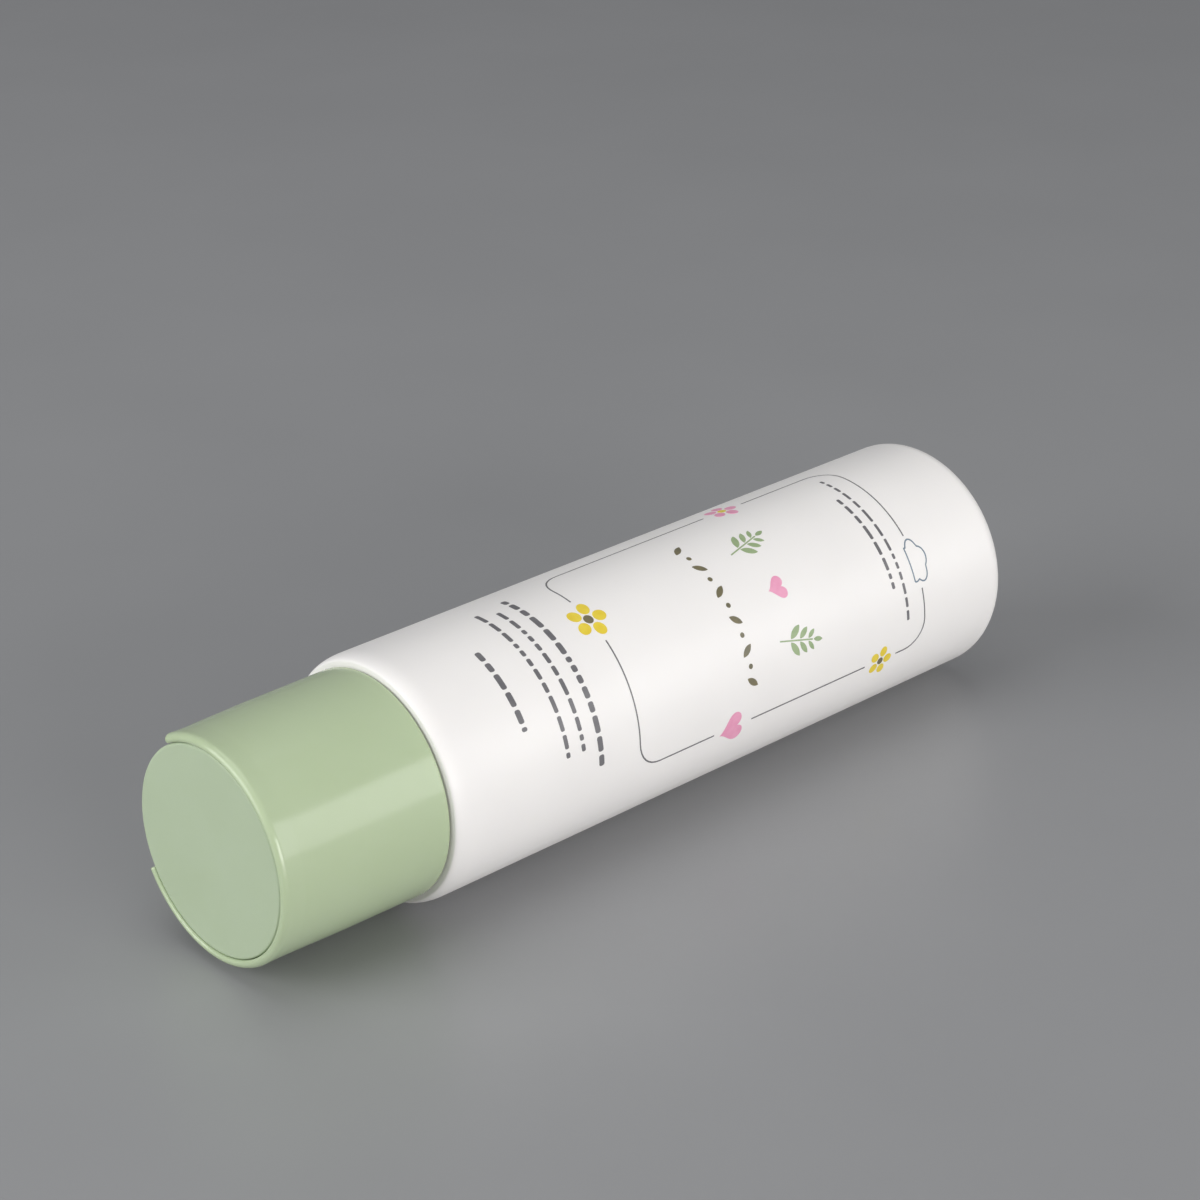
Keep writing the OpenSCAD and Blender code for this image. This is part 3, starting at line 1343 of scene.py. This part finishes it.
class Motif(Enum):
    """The plain motifs of the print."""

    HEART = "heart"
    LEAF = "leaf"
    CLOUD = "cloud"

    def outline(self, a: float) -> Point:
        """Gives the point of the motif's outline at an angle, for a half-width of about one.

        Args:
            a: The angle in radians.

        Returns:
            The point, as distances across and along.
        """
        if self is Motif.HEART:
            b = a - math.pi / 2
            waves = ((1, 13.0), (2, -5.0), (3, -2.0), (4, -1.0))
            return -(math.sin(b) ** 3), sum(w * math.cos(n * b) for n, w in waves) / 16.0
        if self is Motif.LEAF:
            return math.cos(a), 0.42 * math.sin(a) * (1.0 - 0.55 * abs(math.cos(a)) ** 3)
        lobe = 0.78 + 0.2 * abs(math.sin(2.5 * a + 0.3))
        return 1.15 * lobe * math.cos(a), max(-0.42, 0.8 * lobe * math.sin(a))

    def shape(self, size: float) -> bmesh.types.BMesh:
        """Draws the filled motif.

        Args:
            size: Its half-width.

        Returns:
            The flat shape.
        """
        bm = disc_shape((1.0, 1.0), 48)
        for v in bm.verts:
            x, y = self.outline(math.atan2(v.co.y, v.co.x))
            v.co = (x * size, y * size, 0.0)
        return bm


def disc_shape(radii: Point, segments: int = 24) -> bmesh.types.BMesh:
    """Draws a filled ellipse.

    Args:
        radii: Its half-widths across and along.
        segments: Number of corners.

    Returns:
        The flat shape.
    """
    bm = bmesh.new()
    bmesh.ops.create_circle(bm, cap_ends=True, segments=segments, radius=1.0)
    bmesh.ops.scale(bm, vec=(radii[0], radii[1], 1.0), verts=bm.verts)
    return bm


def bar_shape(width: float, height: float, corner: float, segments: int = 4) -> bmesh.types.BMesh:
    """Draws a filled rectangle with rounded corners.

    Args:
        width: Its width.
        height: Its height.
        corner: Radius of its corners.
        segments: Faces in one corner.

    Returns:
        The flat shape.
    """
    bm = bmesh.new()
    bmesh.ops.create_grid(bm, x_segments=1, y_segments=1, size=0.5)
    bmesh.ops.scale(bm, vec=(width, height, 1.0), verts=bm.verts)
    bmesh.ops.bevel(
        bm,
        geom=bm.verts[:],
        offset=corner,
        affect="VERTICES",
        segments=segments,
        profile=0.5,
        material=-1,
    )
    return bm


def ring_of(shape: bmesh.types.BMesh, line: float) -> bmesh.types.BMesh:
    """Turns a filled shape into its outline.

    Args:
        shape: The filled shape, of one face.
        line: Width of the line, inside the shape's edge.

    Returns:
        The outline.
    """
    inner = shape.faces[:]
    bmesh.ops.inset_region(
        shape, faces=inner, thickness=line, use_boundary=True, use_even_offset=True
    )
    bmesh.ops.delete(shape, geom=inner, context="FACES")
    return shape


@dataclass
class Print:
    """The print: a thin frame with gaps, plain motifs, a garland and rows of short bars.

    Attributes:
        frame_u: Half-width of the frame across.
        frame_low: Its edge nearer the cap.
        frame_high: Its edge nearer the closed end.
        line: Width of its line.
        corner: Radius of its corners.
        row_gap: Gap between two bars of a row.
        bar_least: Least width of a row's last bar, apart from what is left over.
        bar_corner: Radius of a bar's corners, as a share of its height.
        garland_l: Half the length of the garland across.
        garland_count: Number of leaves and dots in it.
        garland_leaf: Half-width of its leaves.
        garland_lean: Their lean, in degrees.
        garland_dot: Radius of its dots.
        petals: Number of petals of a flower.
        stem_corner: Radius of the corners of a sprig's stem.
        leaf_lean: Lean of a sprig's leaves from its stem, in degrees.
        leaf_gap: Gap between stem and leaf.
    """

    frame_u: float = 18.9
    frame_low: float = 64.2
    frame_high: float = 127.0
    line: float = 0.24
    corner: float = 4.5
    row_gap: float = 0.55
    bar_least: float = 0.6
    bar_corner: float = 0.3
    garland_l: float = 12.4
    garland_count: int = 11
    garland_leaf: float = 1.25
    garland_lean: float = 52.0
    garland_dot: float = 0.42
    petals: int = 5
    stem_corner: float = 0.1
    leaf_lean: float = 48.0
    leaf_gap: float = 0.2
    # Widths of a row's bars, taken in an uneven order
    BAR_WIDTHS: ClassVar[tuple[float, ...]] = (2.1, 1.3, 2.6, 0.9, 1.8, 2.3, 1.1, 1.6)
    BAR_STRIDE: ClassVar[int] = 3
    # Each row's place along, its start and end across, and the height of its bars
    ROWS: ClassVar[tuple[tuple[float, float, float, float], ...]] = (
        (56.6, -17.2, 15.0, 1.0),
        (53.4, -14.6, 12.4, 0.75),
        (50.4, -16.0, 11.6, 0.75),
        (44.0, -8.4, 5.4, 1.0),
        (123.0, -15.6, 13.6, 0.55),
        (120.8, -9.8, 7.8, 0.65),
    )
    # A flower's petals and middle, as shares of its radius
    PETAL_REACH: ClassVar[float] = 0.64
    PETAL_RADII: ClassVar[Point] = (0.34, 0.3)
    MIDDLE_R: ClassVar[float] = 0.24
    # Where a sprig's pairs of leaves sit and how long they are, as shares of its stem
    LEAF_PAIRS: ClassVar[tuple[Point, ...]] = ((0.3, 0.2), (0.58, 0.165), (0.84, 0.13))
    # Reach of a leaf's middle in leaf lengths, and reach and size of the leaf at the tip
    LEAF_REACH: ClassVar[float] = 1.12
    TIP_REACH: ClassVar[float] = 1.16
    TIP_LEAF: ClassVar[float] = 0.13

    def row(self, sheet: Sheet, along: float, start: float, end: float, height: float) -> None:
        """Sets one row of short bars.

        Args:
            sheet: The sheet that takes them.
            along: The row's place along the tube.
            start: Where it starts across.
            end: Where it ends across.
            height: Height of a bar.
        """
        at = start
        pick = round(along)
        while at < end - self.bar_least:
            width = min(self.BAR_WIDTHS[pick % len(self.BAR_WIDTHS)], end - at)
            shape = bar_shape(width, height, height * self.bar_corner, 2)
            sheet.take(shape, (at + width / 2, along))
            at += width + self.row_gap
            pick += self.BAR_STRIDE

    def garland(self, sheet: Sheet, along: float) -> None:
        """Sets a garland: small leaves and dots on a line.

        Args:
            sheet: The sheet that takes it.
            along: Its place along the tube.
        """
        for i in range(self.garland_count):
            share = 2 * i / (self.garland_count - 1) - 1
            at = (self.garland_l * share, along)
            if i % 2:
                sheet.take(disc_shape((self.garland_dot, self.garland_dot), 16), at)
            else:
                lean = self.garland_lean if i % 4 else -self.garland_lean
                sheet.take(Motif.LEAF.shape(self.garland_leaf), at, lean)

    def flower(self, petals: Sheet, hearts: Sheet, at: Point, size: float) -> None:
        """Sets a flower of five petals.

        Args:
            petals: The sheet for the petals.
            hearts: The sheet for the middle.
            at: Its middle.
            size: Its radius.
        """
        reach = size * self.PETAL_REACH
        radii = (size * self.PETAL_RADII[0], size * self.PETAL_RADII[1])
        for i in range(self.petals):
            a = math.tau * i / self.petals + math.pi / 2
            place = (at[0] + reach * math.cos(a), at[1] + reach * math.sin(a))
            petals.take(disc_shape(radii), place, math.degrees(a))
        hearts.take(disc_shape((size * self.MIDDLE_R, size * self.MIDDLE_R)), at)

    def sprig(self, sheet: Sheet, at: Point, size: float, lean: float) -> None:
        """Sets a sprig: a stem with leaves in pairs.

        Args:
            sheet: The sheet that takes it.
            at: The foot of the stem.
            size: Its length.
            lean: Its lean from upright, in degrees.
        """
        up = math.radians(90.0 + lean)
        way = Vector((math.cos(up), math.sin(up))) * size
        stem = bar_shape(size, self.line, self.stem_corner, 2)
        sheet.take(stem, (Vector(at) + way / 2)[:], 90.0 + lean)
        for share, length in self.LEAF_PAIRS:
            for side in (-1.0, 1.0):
                turned = up + side * math.radians(self.leaf_lean)
                reach = size * length * self.LEAF_REACH + self.leaf_gap
                spot = Vector(at) + way * share
                spot += Vector((math.cos(turned), math.sin(turned))) * reach
                sheet.take(Motif.LEAF.shape(size * length), spot[:], math.degrees(turned))
        tip = Vector(at) + way * self.TIP_REACH
        sheet.take(Motif.LEAF.shape(size * self.TIP_LEAF), tip[:], 90.0 + lean)

    def frame_line(self, sheet: Sheet, spots: tuple[Point, ...], gaps: tuple[Point, ...]) -> None:
        """Sets the frame's line and opens gaps in it.

        Args:
            sheet: The sheet that takes it.
            spots: The middle of each gap.
            gaps: The half-sizes of each gap.
        """
        height = self.frame_high - self.frame_low
        line = ring_of(bar_shape(2 * self.frame_u, height, self.corner, 8), self.line)
        centre = (self.frame_low + self.frame_high) / 2
        for (u, v), (du, dv) in zip(spots, gaps):
            v -= centre
            for co, no in (
                ((u - du, 0, 0), (1, 0, 0)),
                ((u + du, 0, 0), (1, 0, 0)),
                ((0, v - dv, 0), (0, 1, 0)),
                ((0, v + dv, 0), (0, 1, 0)),
            ):
                whole = [*line.verts, *line.edges, *line.faces]
                bmesh.ops.bisect_plane(line, geom=whole, plane_co=co, plane_no=no)
            middles = {f: f.calc_center_median() for f in line.faces}
            inside = [f for f, at in middles.items() if abs(at.x - u) < du and abs(at.y - v) < dv]
            bmesh.ops.delete(line, geom=inside, context="FACES")
        sheet.take(line, (0.0, centre))

    def build(self) -> list[bpy.types.Object]:
        """Builds every ink's film.

        Returns:
            The pieces.
        """
        sheets = [Sheet(ink) for ink in Ink]
        grey, olive, yellow, pink, slate, leaf = sheets
        low = (-6.5, self.frame_low)
        right = (self.frame_u, 84.0)
        far_right = (self.frame_u, 117.0)
        left = (-self.frame_u, 104.0)
        high = (5.0, self.frame_high)
        gaps = ((4.2, 3.0), (3.0, 4.0), (3.0, 3.6), (3.0, 4.2), (4.4, 3.0))
        self.frame_line(grey, (low, right, far_right, left, high), gaps)
        self.flower(yellow, olive, low, 3.4)
        self.flower(yellow, olive, far_right, 2.6)
        self.flower(pink, yellow, left, 2.9)
        pink.take(Motif.HEART.shape(2.6), right, 12.0)
        slate.take(ring_of(Motif.CLOUD.shape(3.4), self.line), high)
        self.sprig(leaf, (-7.5, 94.8), 7.0, 14.0)
        pink.take(Motif.HEART.shape(1.9), (0.4, 98.4))
        self.sprig(leaf, (8.2, 94.8), 7.0, -14.0)
        self.garland(olive, 88.0)
        for along, start, end, height in self.ROWS:
            self.row(grey, along, start, end, height)
        return [sheet.wrap() for sheet in sheets]


# Floor, lamps and camera


def looking(at: Place, aim: Place) -> Matrix:
    """Gives the place of a lamp or camera that stands at one point and faces another."""
    way = Vector(aim) - Vector(at)
    return Matrix.Translation(at) @ way.to_track_quat("-Z", "Y").to_matrix().to_4x4()


@dataclass(frozen=True)
class Softbox:
    """A square studio lamp.

    Attributes:
        name: Its name.
        at: Its place, in metres.
        side: Its width and height.
        power: Its power in watts.
        colour: Its sRGB colour.
        aim: The point that it faces.
    """

    name: str
    at: Place
    side: Point
    power: float
    colour: str = "#ffffff"
    aim: Place = (0.0, 0.0, 0.02)

    def hang(self) -> None:
        """Hangs the lamp."""
        lamp = bpy.data.lights.new(self.name, "AREA")
        lamp.shape = "RECTANGLE"
        lamp.size, lamp.size_y = self.side
        lamp.energy = self.power
        lamp.color = linear(self.colour)[:3]
        holder = bpy.data.objects.new(self.name, lamp)
        bpy.context.scene.collection.objects.link(holder)
        holder.matrix_world = looking(self.at, self.aim)


@dataclass
class Studio:
    """The grey floor, the backdrop's colour, the soft lamps and the camera.

    Attributes:
        floor_r: Radius of the floor, in metres.
        floor_drop: How far it lies under the tube's flat.
        backdrop: Colour that shows past the floor.
        fill: Strength of the light from all round.
        fill_colour: Its colour.
        eye: The camera's place.
        aim: A point that it looks at.
        lens: Its lens, in millimetres.
        sensor: Width of its sensor.
        clip: Least and greatest distance that it shows, in metres.
        lamps: The soft lamps.
    """

    floor_r: float = 6.0
    floor_drop: float = 0.00004
    backdrop: str = "#828386"
    fill: float = 0.15
    fill_colour: str = "#fdfdff"
    eye: Place = (-0.285706, -0.305636, 0.232822)
    aim: Place = (-0.007996, -0.009250, 0.039089)
    lens: float = 92.576
    sensor: float = 36.0
    clip: Point = (0.01, 50.0)
    lamps: ClassVar[tuple[Softbox, ...]] = (
        Softbox("right_softbox", (0.60, -0.80, 0.30), (0.5, 0.55), 2.4),
        Softbox("front_softbox", (-0.16, -1.05, 0.24), (0.8, 0.42), 7.0, "#fffdfc"),
        Softbox("left_softbox", (-0.95, 0.30, 0.42), (0.9, 0.7), 8.4),
        Softbox("top_softbox", (-0.10, 0.10, 1.20), (1.0, 1.0), 4.4),
    )

    def lay_floor(self) -> None:
        """Lays the floor: a seamless studio board with a faint sheen."""
        bm = bmesh.new()
        bmesh.ops.create_circle(bm, cap_ends=True, segments=96, radius=self.floor_r)
        bmesh.ops.translate(bm, verts=bm.verts, vec=(0.0, 0.0, -self.floor_drop))
        mesh = bpy.data.meshes.new("studio_floor")
        bm.to_mesh(mesh)
        bm.free()
        mesh.materials.append(PAINTED_BOARD.material())
        floor = bpy.data.objects.new("studio_floor", mesh)
        bpy.context.scene.collection.objects.link(floor)

    def light_world(self) -> None:
        """Lights the scene from all round, and shows the backdrop's colour past the floor."""
        world = bpy.data.worlds.new("studio")
        world.use_nodes = True
        tree = world.node_tree
        tree.nodes.clear()
        rays = add_node(tree, "ShaderNodeLightPath", {}).outputs
        shown = rays["Is Camera Ray"]
        for kind in ("Is Glossy Ray", "Is Transmission Ray"):
            inputs = {0: shown, 1: rays[kind]}
            shown = add_node(tree, "ShaderNodeMath", inputs, operation="MAXIMUM").outputs[0]
        light, drop = (
            add_node(tree, "ShaderNodeBackground", {"Color": linear(colour), "Strength": strength})
            for colour, strength in ((self.fill_colour, self.fill), (self.backdrop, 1.0))
        )
        mixed = add_node(
            tree, "ShaderNodeMixShader", {0: shown, 1: light.outputs[0], 2: drop.outputs[0]}
        )
        add_node(tree, "ShaderNodeOutputWorld", {"Surface": mixed.outputs[0]})
        bpy.context.scene.world = world

    def set_camera(self) -> None:
        """Puts the camera where the photograph was taken from."""
        data = bpy.data.cameras.new("camera")
        data.lens = self.lens
        data.sensor_width = self.sensor
        data.clip_start, data.clip_end = self.clip
        camera = bpy.data.objects.new("camera", data)
        bpy.context.scene.collection.objects.link(camera)
        camera.matrix_world = looking(self.eye, self.aim)
        bpy.context.scene.camera = camera

    def build(self) -> None:
        """Sets up the whole studio."""
        self.lay_floor()
        self.light_world()
        for lamp in self.lamps:
            lamp.hang()
        self.set_camera()
        bpy.context.scene.view_settings.view_transform = "Standard"


def main() -> None:
    """Builds every piece and the studio."""
    logging.basicConfig(level=logging.INFO, format="%(name)s: %(message)s")
    TubeBody().build()
    CapShell().build()
    PressDisc().build()
    SealingRing().dress()
    Print().build()
    Studio().build()


if __name__ == "__main__":
    main()
